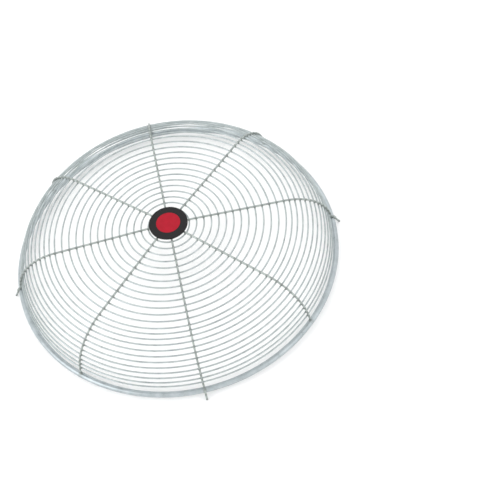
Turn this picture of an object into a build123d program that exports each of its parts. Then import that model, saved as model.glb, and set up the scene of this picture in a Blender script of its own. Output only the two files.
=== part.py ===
from build123d import *
import math
import os

# Wire fan guard, millimetres, +Z up. The front face is up and the guard stands on the
# four rib tails. The origin is on the guard's axis, in the plane of the tail tips.

# Wires
ring_wire = 3.0             # diameter of the concentric rings
rib_wire = 4.0              # diameter of the radial ribs
rim_bar = 12.0              # diameter of the round bar that the ribs end on
weld_gap = 0.1              # clearance left where two pieces are welded

# Dome, along the centre line of a rib
rim_diameter = 680.0        # overall, across the rim bar
wall_slope = 85.2           # degrees of the wall, which points at the rim bar's centre
wall_straight = 1.0         # straight part of the wall, above a tail's first bend
shoulder_radius = 95.7      # bend from the face into the wall
face_slope = 3.05           # degrees that the face falls outwards
hub_bend_radius = 120.0     # slight bend from the face into the flat middle
hub_flat_radius = 46.0      # where the flat middle ends

# Rings, spread evenly along a rib
face_rings = 14             # the first of them at first_ring_radius
shoulder_rings = 11         # round the shoulder and down the wall, closer together
first_ring_radius = 42.5
face_ring_margin = 2.5      # length of rib from the face's last ring to the shoulder
last_ring_clearance = 22.0  # length of rib from the last ring to the rim bar's centre

# Ribs
rib_count = 8
rib_start_radius = 13.0     # inner end, on the hub plate
tail_bend_radius = 4.0      # a tail's first bend, out of the wall and over the rim bar
flare_radius = 8.0          # its last bend, outwards, beside the rim bar's centre
tail_slope = 60.0           # degrees that a tail falls outwards
tail_length = 12.0          # straight part of the tail, past the rim bar

# Hub plate, under the ribs
hub_plate_radius = 36.0
hub_plate_thickness = 1.6
post_hole_clearance = 0.2   # radial, round the badge's post

# Badge, on top of the ribs
badge_radius = 40.0
badge_thickness = 3.4
badge_edge_radius = 0.8
badge_post_radius = 3.2
badge_post_overhang = 4.0   # past the underside of the hub plate
seat_gap = 0.1              # clearance between the badge's pieces

# Round field set into the badge
field_radius = 25.0
field_depth = 0.9
field_proud = 0.3

# Push nut on the badge's post
nut_radius = 9.0
nut_thickness = 1.0
nut_collar_radius = 5.0
nut_collar_height = 1.8

# Sizes that follow
rib_radius = rib_wire / 2
ring_radius = ring_wire / 2
rim_radius = rim_bar / 2
slope = math.radians(face_slope)
wall = math.radians(wall_slope)
tail = math.radians(tail_slope)

hook_radius = rim_radius + rib_radius + weld_gap
hook_rise = math.sqrt(hook_radius ** 2 + 2 * hook_radius * tail_bend_radius)
hook_turn = math.degrees(math.acos(tail_bend_radius / (hook_radius + tail_bend_radius)))
rim_height = tail_length * math.sin(tail) + (flare_radius + rib_radius) * math.cos(tail)
wall_length = wall_straight + hook_rise
rib_rim_radius = rim_diameter / 2 - rim_radius

wall_top_radius = rib_rim_radius - wall_length * math.cos(wall)
wall_top_height = rim_height + wall_length * math.sin(wall)
face_end_radius = wall_top_radius - shoulder_radius * (math.sin(wall) - math.sin(slope))
face_end_height = wall_top_height + shoulder_radius * (math.cos(slope) - math.cos(wall))
face_start_radius = hub_flat_radius + hub_bend_radius * math.sin(slope)
face_start_height = face_end_height + (face_end_radius - face_start_radius) * math.tan(slope)
hub_level = face_start_height + hub_bend_radius * (1 - math.cos(slope))

face_run = (face_end_radius - face_start_radius) / math.cos(slope)
face_end_distance = hub_flat_radius - rib_start_radius + hub_bend_radius * slope + face_run
rim_distance = face_end_distance + shoulder_radius * (wall - slope) + wall_length

first_ring_distance = first_ring_radius - rib_start_radius
face_last_distance = face_end_distance - face_ring_margin
last_ring_distance = rim_distance - last_ring_clearance
face_pitch = (face_last_distance - first_ring_distance) / (face_rings - 1)
shoulder_pitch = (last_ring_distance - face_last_distance) / shoulder_rings


def rib_line(with_tail):
    """Centre line of a rib in the XZ plane, from its inner end outwards."""
    flat = Line((rib_start_radius, hub_level), (hub_flat_radius, hub_level))
    bend = JernArc(flat @ 1, flat % 1, hub_bend_radius, -face_slope)
    face = Line(bend @ 1, (face_end_radius, face_end_height))
    shoulder = JernArc(face @ 1, face % 1, shoulder_radius, face_slope - wall_slope)
    if with_tail:
        side = PolarLine(shoulder @ 1, wall_straight, -wall_slope)
        out = JernArc(side @ 1, side % 1, tail_bend_radius, hook_turn)
        over = JernArc(out @ 1, out % 1, hook_radius, wall_slope - hook_turn - 90)
        flare = JernArc(over @ 1, over % 1, flare_radius, 90 - tail_slope)
        end = PolarLine(flare @ 1, tail_length, -tail_slope)
        return Plane.XZ * Wire([flat, bend, face, shoulder, side, out, over, flare, end])
    side = PolarLine(shoulder @ 1, wall_length - rim_radius - weld_gap, -wall_slope)
    return Plane.XZ * Wire([flat, bend, face, shoulder, side])


def make_rib(number):
    """One rib. Every second one runs on over the rim bar as a tail, the others end on it."""
    line = rib_line(with_tail=number % 2 == 0)
    section = Plane(origin=line @ 0, z_dir=line % 0) * Circle(rib_radius)
    return Rot(0, 0, number * 360 / rib_count) * sweep(section, path=line)


def make_ring(distance):
    """One ring, welded to the inside of the ribs at this distance along a rib."""
    line = rib_line(with_tail=False)
    place = line.position_at(distance, position_mode=PositionMode.LENGTH)
    along = line.tangent_at(distance, position_mode=PositionMode.LENGTH)
    inset = rib_radius + ring_radius + weld_gap
    return Pos(0, 0, place.Z - along.X * inset) * Torus(place.X + along.Z * inset, ring_radius)


def ring_distances():
    """Distance of each ring along a rib, from the rib's inner end."""
    face = [first_ring_distance + face_pitch * step for step in range(face_rings)]
    shoulder = [face_last_distance + shoulder_pitch * (step + 1) for step in range(shoulder_rings)]
    return face + shoulder


def make_rim_bar():
    """The round bar that is the guard's rim."""
    return Pos(0, 0, rim_height) * Torus(rib_rim_radius, rim_radius)


plate_top = hub_level - rib_radius - weld_gap
plate_bottom = plate_top - hub_plate_thickness
badge_bottom = hub_level + rib_radius + seat_gap
badge_top = badge_bottom + badge_thickness


def make_hub_plate():
    """Steel disc that the inner ends of the ribs are welded to, with a hole for the post."""
    hole = Circle(badge_post_radius + post_hole_clearance)
    return Pos(0, 0, plate_bottom) * extrude(Circle(hub_plate_radius) - hole, hub_plate_thickness)


def make_badge():
    """Round moulded badge with a recess for the field and a post on its back."""
    disc = extrude(Circle(badge_radius), badge_thickness)
    disc = fillet(disc.edges().group_by(Axis.Z)[-1], badge_edge_radius)
    disc -= Pos(0, 0, badge_thickness - field_depth) * extrude(Circle(field_radius), field_depth)
    disc += extrude(Circle(badge_post_radius), plate_bottom - badge_post_overhang - badge_bottom)
    return Pos(0, 0, badge_bottom) * disc


def make_badge_field():
    """Plain round field that fills the badge's recess and stands a little proud."""
    height = field_depth + field_proud - seat_gap
    field = extrude(Circle(field_radius - seat_gap), height)
    field = fillet(field.edges().group_by(Axis.Z)[-1], field_proud)
    return Pos(0, 0, badge_top - field_depth + seat_gap) * field


def make_push_nut():
    """Push nut on the badge's post, against the underside of the hub plate."""
    bore = Circle(badge_post_radius + seat_gap)
    nut = extrude(Circle(nut_radius) - bore, -nut_thickness)
    nut += Pos(0, 0, -nut_thickness) * extrude(Circle(nut_collar_radius) - bore, -nut_collar_height)
    return Pos(0, 0, plate_bottom - seat_gap) * nut


pieces = {}
for count, distance in enumerate(ring_distances(), start=1):
    pieces[f"ring_{count:02d}"] = make_ring(distance)
for number in range(rib_count):
    kind = "long" if number % 2 == 0 else "short"
    pieces[f"{kind}_rib_{number // 2 + 1}"] = make_rib(number)
pieces["rim_bar"] = make_rim_bar()
pieces["hub_plate"] = make_hub_plate()
pieces["badge"] = make_badge()
pieces["badge_field"] = make_badge_field()
pieces["push_nut"] = make_push_nut()

os.makedirs("parts", exist_ok=True)
for name, piece in pieces.items():
    export_step(piece, f"parts/{name}.step")
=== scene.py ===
import bpy
import bmesh
import math
import random
from mathutils import Matrix, Vector


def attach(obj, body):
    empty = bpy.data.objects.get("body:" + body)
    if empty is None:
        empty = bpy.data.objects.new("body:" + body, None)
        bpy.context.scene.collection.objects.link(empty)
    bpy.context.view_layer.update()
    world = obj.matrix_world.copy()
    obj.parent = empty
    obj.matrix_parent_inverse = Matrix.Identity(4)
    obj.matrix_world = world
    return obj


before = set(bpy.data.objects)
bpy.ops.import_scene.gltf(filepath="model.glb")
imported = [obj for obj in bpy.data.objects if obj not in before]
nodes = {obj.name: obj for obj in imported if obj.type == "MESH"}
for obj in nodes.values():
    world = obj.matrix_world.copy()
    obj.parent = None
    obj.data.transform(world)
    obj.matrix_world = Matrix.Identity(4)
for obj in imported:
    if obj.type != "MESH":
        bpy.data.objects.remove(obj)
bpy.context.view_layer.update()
print("frame loaded,", len(nodes), "nodes")


# sums written on sockets become Math nodes
class Term:
    def __init__(self, sheet, socket):
        self.sheet = sheet
        self.socket = socket

    def maths(self, operation, *others, swap=False):
        terms = [self, *others]
        if swap:
            terms.reverse()
        return self.sheet.add("ShaderNodeMath", {"operation": operation}, dict(enumerate(terms)))

    def __add__(self, other):
        return self.maths("ADD", other)

    def __sub__(self, other):
        return self.maths("SUBTRACT", other)

    def __rsub__(self, other):
        return self.maths("SUBTRACT", other, swap=True)

    def __mul__(self, other):
        return self.maths("MULTIPLY", other)

    def __truediv__(self, other):
        return self.maths("DIVIDE", other)

    __radd__ = __add__
    __rmul__ = __mul__


class Sheet:
    def __init__(self, name):
        self.material = bpy.data.materials.new(name)
        self.material.use_nodes = True
        self.tree = self.material.node_tree
        self.tree.nodes.clear()

    def add(self, kind, settings=None, feeds=None, out=0):
        made = self.tree.nodes.new(kind)
        for key, value in (settings or {}).items():
            if key == "stops":
                while len(made.color_ramp.elements) < len(value):
                    made.color_ramp.elements.new(0.5)
                for stop, (place, colour) in zip(made.color_ramp.elements, value):
                    stop.position = place
                    stop.color = (*colour, 1)
            else:
                setattr(made, key, value)
        for key, value in (feeds or {}).items():
            if isinstance(value, Term):
                self.tree.links.new(value.socket, made.inputs[key])
            elif isinstance(value, tuple) and made.inputs[key].type == "RGBA":
                made.inputs[key].default_value = (*value, 1)
            else:
                made.inputs[key].default_value = value
        return Term(self, made.outputs[out])

    def place(self):                                      # x, y and z on the piece
        self.spot = self.add("ShaderNodeTexCoord", out="Object")
        split = self.add("ShaderNodeSeparateXYZ", feeds={0: self.spot})
        return [Term(self, axis) for axis in split.socket.node.outputs]

    def noise(self, vector, scale, detail=3, roughness=0.5):
        feeds = {"Vector": vector, "Scale": scale, "Detail": detail, "Roughness": roughness}
        return self.add("ShaderNodeTexNoise", None, feeds, "Fac")

    def vector(self, x, y, z):
        return self.add("ShaderNodeCombineXYZ", None, {0: x, 1: y, 2: z})

    def band(self, value, low, high, start=0.0, end=1.0):     # smooth step from low to high
        feeds = {"Value": value, "From Min": low, "From Max": high, "To Min": start, "To Max": end}
        return self.add("ShaderNodeMapRange", {"interpolation_type": "SMOOTHSTEP"}, feeds)

    def ramp(self, value, places, colours):
        return self.add("ShaderNodeValToRGB", {"stops": list(zip(places, colours))}, {"Fac": value})

    def blend(self, factor, first, second):
        return self.add("ShaderNodeMix", {"data_type": "RGBA"}, {0: factor, 6: first, 7: second}, 2)

    def bump(self, height, distance, below=None):
        feeds = {"Height": height, "Distance": distance}
        if below:
            feeds["Normal"] = below
        return self.add("ShaderNodeBump", None, feeds, "Normal")

    def shade(self, feeds):
        surface = self.add("ShaderNodeBsdfPrincipled", None, feeds)
        output = self.tree.nodes.new("ShaderNodeOutputMaterial")
        self.tree.links.new(surface.socket, output.inputs["Surface"])
        return self.material


def dress(names, material):
    for name in names:
        slots = nodes[name].data.materials
        slots.clear()
        slots.append(material)


# the wires
ribPath = {"count": 8, "start": 0.013, "level": 0.125635,       # start, level: a rib's inner end
           "flatTo": 0.046, "hubBend": 0.120, "faceFall": 3.05, "faceTo": 0.242688,
           "shoulder": 0.0957, "wallFall": 85.2,
           "firstRing": 0.0425, "faceRings": 14, "facePitch": 0.0152278,
           "shoulderPitch": 0.0118303, "margin": 0.0025}       # margin: last ring of the face to the shoulder


def acrossRib(sheet, x, y):                               # distance from the nearest rib, reach and turn
    turn = sheet.add("ShaderNodeMath", {"operation": "ARCTAN2"}, {0: y, 1: x})
    reach = (x * x + y * y).maths("SQRT")
    share = (turn * (ribPath["count"] / math.tau) + 0.5).maths("FRACT") - 0.5
    return share * (math.tau / ribPath["count"]) * reach, reach, turn


def faceLevels():                                         # heights where the face starts and ends
    p = ribPath
    fall = math.radians(p["faceFall"])
    starts = p["level"] - p["hubBend"] * (1 - math.cos(fall))
    reach = p["faceTo"] - p["flatTo"] - p["hubBend"] * math.sin(fall)
    return starts, starts - reach * math.tan(fall)


# distance along a rib past the last ring of the face, and the pitch of the rings there
def alongRib(sheet, reach, z):
    p = ribPath
    fall, wall = math.radians(p["faceFall"]), math.radians(p["wallFall"])
    middle = p["faceTo"] - p["shoulder"] * math.sin(fall)
    centre = faceLevels()[1] - p["shoulder"] * math.cos(fall)
    wallTop = centre + p["shoulder"] * math.cos(wall)
    onFace = reach - p["faceTo"]
    swing = sheet.add("ShaderNodeMath", {"operation": "ARCTAN2"}, {0: reach - middle, 1: z - centre})
    onShoulder = (swing - fall) * p["shoulder"]
    onWall = (wallTop - z) + p["shoulder"] * (wall - fall)
    past = onFace.maths("GREATER_THAN", 0.0)
    low = (wallTop - z).maths("GREATER_THAN", 0.0)
    run = onFace + past * (onShoulder - onFace) + low * (onWall - onShoulder) + p["margin"]
    pitch = run.maths("GREATER_THAN", 0.0) * (p["shoulderPitch"] - p["facePitch"]) + p["facePitch"]
    return run, pitch


def platedWire(name, look):
    sheet = Sheet(name)
    x, y, z = sheet.place()
    across, reach, turn = acrossRib(sheet, x, y)
    fine, stretch = look["fineness"], look["stretch"]
    if look["runs"] == "round":                           # a ring or the rim: drawn lines run round the axis
        lines = sheet.vector(reach * fine, z * fine, turn * stretch)
        fromWeld = across.maths("ABSOLUTE")
    else:                                                 # a rib: they run outwards
        lines = sheet.vector(across * fine, reach * stretch, z * stretch)
        run, pitch = alongRib(sheet, reach, z)
        fromWeld = ((run / pitch + 0.5).maths("FRACT") - 0.5).maths("ABSOLUTE") * pitch
    weldNear = sheet.band(fromWeld, *look["weldReach"], 1, 0)
    drawn = sheet.noise(lines, 1, 4, 0.6)
    cloud = sheet.noise(sheet.spot, look["cloudScale"], 4, 0.6)
    grain = sheet.noise(sheet.spot, look["grainScale"], 2, 0.6)
    specks = sheet.band(sheet.noise(sheet.spot, look["speckScale"], 2, 0.4), *look["speckCut"])
    tone = sheet.ramp(cloud, look["cloudAt"], (look["dark"], look["mid"], look["bright"]))
    tone = sheet.blend(sheet.band(drawn, *look["lineCut"]) * look["lineTone"], tone, look["dark"])
    tone = sheet.blend(weldNear * look["weldTone"], tone, look["weldTint"])
    tone = sheet.blend(specks * look["speckTone"], tone, look["speckTint"])
    rough = look["rough"] + cloud * look["roughCloud"] + grain * look["roughGrain"]
    rough = rough - drawn * look["lineShine"] + weldNear * look["roughWeld"]
    ridges = sheet.bump(drawn, look["lineDepth"])
    skin = sheet.bump(grain + specks * look["speckDepth"], look["grainDepth"], below=ridges)
    return sheet.shade({"Base Color": tone, "Metallic": look["metal"], "Roughness": rough, "Normal": skin,
                        "Coat Weight": look["coat"], "Coat Roughness": look["coatRough"]})


ringLook = {"dark": (0.31, 0.35, 0.35), "mid": (0.41, 0.455, 0.46), "bright": (0.51, 0.555, 0.56),
            "cloudScale": 60, "cloudAt": (0.30, 0.52, 0.72),
            "runs": "round", "fineness": 2600, "stretch": 3,
            "lineCut": (0.35, 0.75), "lineTone": 0.35, "lineShine": 0.08, "lineDepth": 0.00005,
            "weldReach": (0.0018, 0.0060), "weldTone": 0.50, "weldTint": (0.21, 0.23, 0.22),
            "speckScale": 420, "speckCut": (0.66, 0.74), "speckTone": 0.30,
            "speckTint": (0.18, 0.20, 0.19), "speckDepth": 0.6,
            "rough": 0.22, "roughCloud": 0.16, "roughGrain": 0.10, "roughWeld": 0.10,
            "grainScale": 1500, "grainDepth": 0.00003, "metal": 0.85, "coat": 0.06, "coatRough": 0.25}
ribLook = dict(ringLook, runs="out", fineness=2200, stretch=9,
               dark=(0.27, 0.30, 0.29), mid=(0.36, 0.40, 0.385), bright=(0.46, 0.50, 0.48),
               weldReach=(0.0014, 0.0036), weldTone=0.60, weldTint=(0.16, 0.18, 0.17))
rimLook = dict(ringLook, fineness=1500,
               dark=(0.335, 0.375, 0.39), mid=(0.415, 0.46, 0.48), bright=(0.50, 0.545, 0.565),
               weldReach=(0.0026, 0.0060), weldTone=0.35, speckTint=(0.26, 0.29, 0.30))
ringNames = sorted(n for n in nodes if n.startswith("ring_"))
ribNames = sorted(n for n in nodes if "_rib_" in n)
dress(ringNames, platedWire("ringPlating", ringLook))
dress(ribNames, platedWire("ribPlating", ribLook))
dress(["rim_bar"], platedWire("rimPlating", rimLook))
print("wires dressed:", len(ringNames), "rings,", len(ribNames), "ribs and the rim bar")


# the hub under the badge
plateLook = {"dark": (0.46, 0.47, 0.46), "bright": (0.68, 0.69, 0.68),
             "spangle": 260, "shineShare": 0.6, "shineDepth": 0.3,
             "edgeBand": (0.0348, 0.036), "edgeTone": 0.5, "edgeTint": (0.30, 0.30, 0.29),
             "rough": 0.34, "roughShine": 0.14, "roughGrain": 0.08, "roughEdge": 0.12,
             "cloudScale": 45, "grainScale": 1800, "depth": 0.00004, "metal": 0.9}
nutLook = {"dark": (0.16, 0.16, 0.17), "bright": (0.30, 0.30, 0.31), "rough": 0.38, "roughGrain": 0.16,
           "cloudScale": 320, "grainScale": 2200, "depth": 0.00003, "metal": 0.9}


def spangledSteel(name, look):
    sheet = Sheet(name)
    x, y, z = sheet.place()
    cells = sheet.add("ShaderNodeTexVoronoi", None, {"Vector": sheet.spot, "Scale": look["spangle"]}, "Color")
    shine = sheet.add("ShaderNodeSeparateColor", None, {0: cells})
    cloud = sheet.noise(sheet.spot, look["cloudScale"], 4)
    grain = sheet.noise(sheet.spot, look["grainScale"], 2)
    reach = (x * x + y * y).maths("SQRT")
    edge = sheet.band(reach, *look["edgeBand"])
    light = shine * look["shineShare"] + cloud * (1 - look["shineShare"])
    tone = sheet.blend(light, look["dark"], look["bright"])
    tone = sheet.blend(edge * look["edgeTone"], tone, look["edgeTint"])
    rough = look["rough"] + shine * look["roughShine"] + grain * look["roughGrain"]
    rough = rough + edge * look["roughEdge"]
    skin = sheet.bump(grain + shine * look["shineDepth"], look["depth"])
    return sheet.shade({"Base Color": tone, "Metallic": look["metal"], "Roughness": rough, "Normal": skin})


def springSteel(name, look):
    sheet = Sheet(name)
    sheet.place()
    cloud = sheet.noise(sheet.spot, look["cloudScale"], 4)
    grain = sheet.noise(sheet.spot, look["grainScale"], 2)
    tone = sheet.blend(cloud, look["dark"], look["bright"])
    rough = look["rough"] + grain * look["roughGrain"]
    skin = sheet.bump(grain, look["depth"])
    return sheet.shade({"Base Color": tone, "Metallic": look["metal"], "Roughness": rough, "Normal": skin})


dress(["hub_plate"], spangledSteel("hubPlating", plateLook))
dress(["push_nut"], springSteel("nutSteel", nutLook))


# the badge
badgeLook = {"black": (0.005, 0.004, 0.005), "worn": (0.026, 0.026, 0.028), "gloss": 0.25,
             "edgeBand": (0.0388, 0.0397), "rubCut": (0.40, 0.62), "rubTone": 0.7,
             "scratchFine": 900, "scratchLong": 60, "scratchSlant": 1 / 3,
             "scratchCut": (0.70, 0.76), "scratchTone": 0.25, "scratchDepth": 0.5,
             "rough": 0.40, "roughCloud": 0.14, "roughScratch": 0.2, "roughRub": 0.15,
             "cloudScale": 70, "peelScale": 900, "depth": 0.00004}
fieldLook = {"red": (0.40, 0.004, 0.020), "deep": (0.25, 0.003, 0.011), "gloss": 0.15,
             "edgeBand": (0.0242, 0.025), "edgeTone": 0.3, "cloudTone": 0.7,
             "rough": 0.34, "roughCloud": 0.12, "roughEdge": 0.1,
             "cloudScale": 90, "peelScale": 1100, "depth": 0.00003}


def mouldedBlack(name, look):
    sheet = Sheet(name)
    x, y, z = sheet.place()
    reach = (x * x + y * y).maths("SQRT")
    cloud = sheet.noise(sheet.spot, look["cloudScale"], 4)
    peel = sheet.noise(sheet.spot, look["peelScale"], 2)
    fine, long, slant = look["scratchFine"], look["scratchLong"], look["scratchSlant"]
    scratchAt = sheet.vector(x * fine + y * (fine * slant), y * long - x * (long * slant), z * long)
    scratch = sheet.band(sheet.noise(scratchAt, 1, 2), *look["scratchCut"])
    rub = sheet.band(reach, *look["edgeBand"]) * sheet.band(cloud, *look["rubCut"])
    tone = sheet.blend(rub * look["rubTone"] + scratch * look["scratchTone"], look["black"], look["worn"])
    rough = look["rough"] + cloud * look["roughCloud"] + scratch * look["roughScratch"]
    rough = rough + rub * look["roughRub"]
    skin = sheet.bump(peel - scratch * look["scratchDepth"], look["depth"])
    return sheet.shade({"Base Color": tone, "Roughness": rough, "Normal": skin,
                        "Specular IOR Level": look["gloss"]})


def paintedRed(name, look):
    sheet = Sheet(name)
    x, y, z = sheet.place()
    reach = (x * x + y * y).maths("SQRT")
    cloud = sheet.noise(sheet.spot, look["cloudScale"], 4)
    peel = sheet.noise(sheet.spot, look["peelScale"], 2)
    edge = sheet.band(reach, *look["edgeBand"])
    tone = sheet.blend(cloud * look["cloudTone"] + edge * look["edgeTone"], look["red"], look["deep"])
    rough = look["rough"] + cloud * look["roughCloud"] + edge * look["roughEdge"]
    skin = sheet.bump(peel, look["depth"])
    return sheet.shade({"Base Color": tone, "Roughness": rough, "Normal": skin,
                        "Specular IOR Level": look["gloss"]})


dress(["badge"], mouldedBlack("badgeBlack", badgeLook))
dress(["badge_field"], paintedRed("badgeRed", fieldLook))
print("hub and badge dressed")


# weld beads where a ring or the rim bar meets a rib
beadShape = {"rib": 0.0040, "gap": 0.0001, "wide": 0.0026, "thick": 0.0009,
             "around": 10, "up": 6, "spread": 0.12, "seed": 5}
rimBead = dict(beadShape, wide=0.0031, thick=0.0012)
rimSpots = {"reach": 0.334, "level": 0.015392, "bar": 0.0060, "over": 40}   # over: degrees, on a long rib
weldLook = {"dark": (0.20, 0.22, 0.21), "bright": (0.34, 0.37, 0.355), "cloudAt": (0.3, 0.7),
            "rough": 0.36, "roughGrain": 0.2, "cloudScale": 500, "grainScale": 2400,
            "depth": 0.00008, "metal": 0.8}


def ribPoint(distance):                                   # reach, height and fall of the rib's centre line
    p = ribPath
    fall = math.radians(p["faceFall"])
    flat = p["flatTo"] - p["start"]
    if distance < flat:
        return p["start"] + distance, p["level"], 0.0
    bend = p["hubBend"] * fall
    if distance < flat + bend:
        turn = (distance - flat) / p["hubBend"]
        level = p["level"] - p["hubBend"] * (1 - math.cos(turn))
        return p["flatTo"] + p["hubBend"] * math.sin(turn), level, turn
    faceReach = p["flatTo"] + p["hubBend"] * math.sin(fall)
    faceLevel, shoulderLevel = faceLevels()
    run = distance - flat - bend
    length = (p["faceTo"] - faceReach) / math.cos(fall)
    if run < length:
        return faceReach + run * math.cos(fall), faceLevel - run * math.sin(fall), fall
    turn = fall + (run - length) / p["shoulder"]
    reach = p["faceTo"] + p["shoulder"] * (math.sin(turn) - math.sin(fall))
    return reach, shoulderLevel - p["shoulder"] * (math.cos(fall) - math.cos(turn)), turn


def ringStations():
    stations = []
    spot = ribPath["firstRing"] - ribPath["start"]
    while len(stations) < len(ringNames):
        stations.append(ribPoint(spot))
        spot += ribPath["facePitch"] if len(stations) < ribPath["faceRings"] else ribPath["shoulderPitch"]
    return stations


def addBead(bm, spot, normal, along, shape, chance):      # a flat drop, lying across the normal
    turn = Matrix((along, normal.cross(along), normal)).transposed().to_4x4()
    wide = shape["wide"] * (1 + shape["spread"] * chance.uniform(-1, 1))
    grow = Matrix.Diagonal((wide, wide, shape["thick"], 1))
    bmesh.ops.create_uvsphere(bm, u_segments=shape["around"], v_segments=shape["up"], radius=1,
                              matrix=Matrix.Translation(spot) @ turn @ grow)


def makePiece(bm, name, material):
    mesh = bpy.data.meshes.new(name)
    bm.to_mesh(mesh)
    bm.free()
    mesh.materials.append(material)
    piece = bpy.data.objects.new(name, mesh)
    bpy.context.scene.collection.objects.link(piece)
    return piece


def weldSteel(name, look):
    sheet = Sheet(name)
    sheet.place()
    cloud = sheet.noise(sheet.spot, look["cloudScale"], 4)
    grain = sheet.noise(sheet.spot, look["grainScale"], 2)
    tone = sheet.ramp(cloud, look["cloudAt"], (look["dark"], look["bright"]))
    rough = look["rough"] + grain * look["roughGrain"]
    skin = sheet.bump(grain + cloud, look["depth"])
    return sheet.shade({"Base Color": tone, "Metallic": look["metal"], "Roughness": rough, "Normal": skin})


weldFinish = weldSteel("weldSteel", weldLook)
chance = random.Random(beadShape["seed"])
below = beadShape["rib"] / 2 + beadShape["gap"] / 2       # from a rib's centre line to its underside
for number in range(ribPath["count"]):
    bm = bmesh.new()
    turn = Matrix.Rotation(number * math.tau / ribPath["count"], 3, "Z")
    along = turn @ Vector((0, 1, 0))
    for reach, level, fall in ringStations():
        out = Vector((math.sin(fall), 0, math.cos(fall)))
        spot = Vector((reach, 0, level)) - out * below
        addBead(bm, turn @ spot, turn @ out, along, beadShape, chance)
    # an odd rib ends on top of the rim bar, an even one runs on over it
    lean = math.radians(ribPath["wallFall"] - 90 if number % 2 else rimSpots["over"])
    out = Vector((math.sin(lean), 0, math.cos(lean)))
    spot = Vector((rimSpots["reach"], 0, rimSpots["level"])) + out * (rimSpots["bar"] + beadShape["gap"] / 2)
    addBead(bm, turn @ spot, turn @ out, along, rimBead, chance)
    bmesh.ops.recalc_face_normals(bm, faces=bm.faces)
    for face in bm.faces:
        face.smooth = True
    piece = makePiece(bm, "weld_beads_%d" % (number + 1), weldFinish)
    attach(piece, "root")
print("weld beads on", ribPath["count"], "ribs")


# floor, light and camera
floorLook = {"size": 14.0, "cells": 8, "tone": (0.97, 0.97, 0.97), "fleck": (0.95, 0.95, 0.95),
             "fleckScale": 3, "rough": 0.9}
sheet = Sheet("floorPaper")
sheet.place()
paper = sheet.blend(sheet.noise(sheet.spot, floorLook["fleckScale"]), floorLook["tone"], floorLook["fleck"])
bm = bmesh.new()
bmesh.ops.create_grid(bm, x_segments=floorLook["cells"], y_segments=floorLook["cells"],
                      size=floorLook["size"] / 2)
floor = makePiece(bm, "floor", sheet.shade({"Base Color": paper, "Roughness": floorLook["rough"]}))

studio = {"sky": (1.0, 1.0, 1.0), "skyPower": 1.20, "lampSize": 3.2, "aim": (0, 0, 0.06),
          "lamps": [("keyLamp", (-3.1, -0.9, 2.3), 40),
                    ("fillLamp", (3.0, -2.0, 2.6), 14),
                    ("backLamp", (0.4, 3.2, 3.0), 16)]}
world = bpy.data.worlds.new("studio")
bpy.context.scene.world = world
world.use_nodes = True
background = world.node_tree.nodes["Background"]
background.inputs["Color"].default_value = (*studio["sky"], 1)
background.inputs["Strength"].default_value = studio["skyPower"]
bpy.context.scene.view_settings.view_transform = "Standard"
for name, spot, power in studio["lamps"]:
    lamp = bpy.data.lights.new(name, "AREA")
    lamp.shape, lamp.size, lamp.energy = "DISK", studio["lampSize"], power
    holder = bpy.data.objects.new(name, lamp)
    holder.location = spot
    holder.rotation_euler = (Vector(studio["aim"]) - Vector(spot)).to_track_quat("-Z", "Y").to_euler()
    bpy.context.scene.collection.objects.link(holder)

shot = {"lens": 105.7, "sensor": 36.0, "far": 60, "spot": (0.10547, -1.78659, 2.532516),
        "right": (0.97433, -0.19256, -0.1166), "up": (0.22461, 0.79737, 0.56014),
        "back": (-0.01489, -0.57195, 0.82015)}
camera = bpy.data.cameras.new("camera")
camera.lens = shot["lens"]
camera.sensor_width = shot["sensor"]
camera.clip_end = shot["far"]
stand = bpy.data.objects.new("camera", camera)
turn = Matrix((shot["right"], shot["up"], shot["back"])).transposed()
stand.matrix_world = Matrix.Translation(shot["spot"]) @ turn.to_4x4()
bpy.context.scene.collection.objects.link(stand)
bpy.context.scene.camera = stand
print("floor, light and camera set")

bpy.context.view_layer.update()
